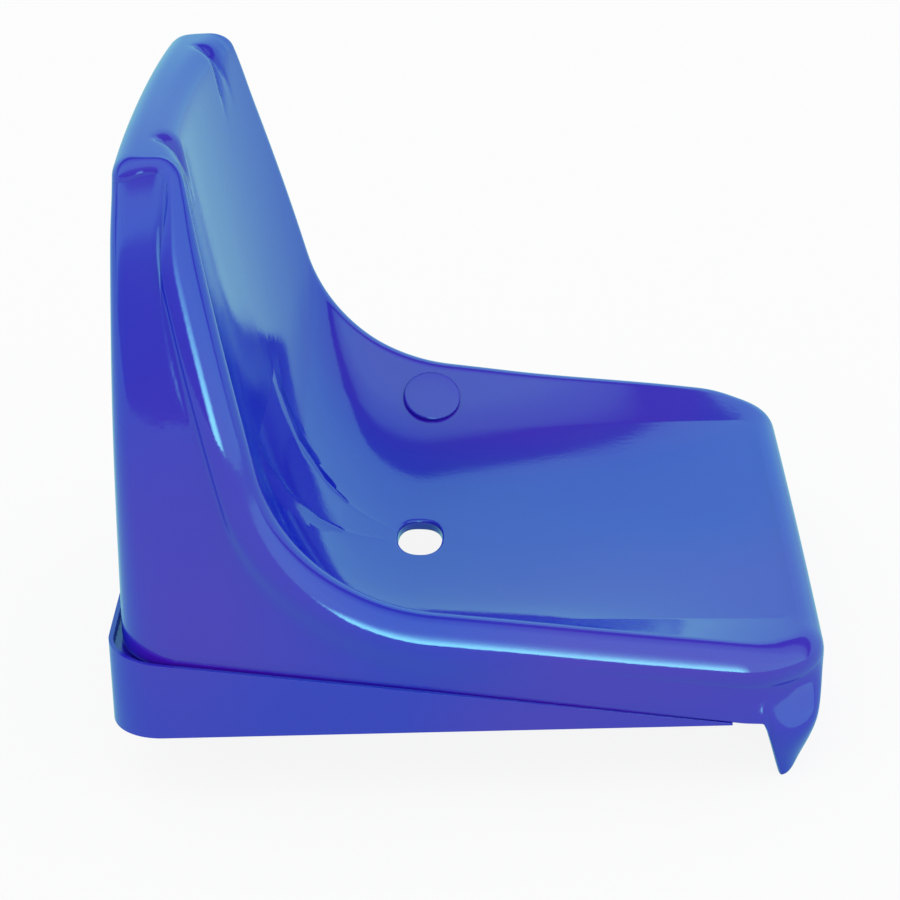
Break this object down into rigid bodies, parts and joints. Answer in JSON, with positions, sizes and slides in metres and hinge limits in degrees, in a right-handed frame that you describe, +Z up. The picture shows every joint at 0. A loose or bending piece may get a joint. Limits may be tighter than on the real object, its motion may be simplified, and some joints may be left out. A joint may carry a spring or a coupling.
{
  "type": "racing seat",
  "caption": "Low-back moulded plastic bucket seat shell with a rolled rim, standing on a wedge-shaped plinth and fixed through a slot in its pan.",
  "frame": {"origin": "middle of the seat's depth and width, at the height of the front apron's lowest edge", "axes": "+X forward, +Y to the seat's left side, +Z up"},
  "size_m": [0.437, 0.4336, 0.382],
  "materials": {
    "shell": "high-gloss blue moulded polypropylene with soft flow waviness",
    "plinth": "glossy blue moulded polypropylene, a little duller than the shell",
    "cap": "glossy blue moulded snap-in cap"
  },
  "bodies": {
    "root": {"seat_shell": "shell", "base_plinth": "plinth", "left_wing_cap": "cap", "right_wing_cap": "cap"}
  },
  "joints": []
}
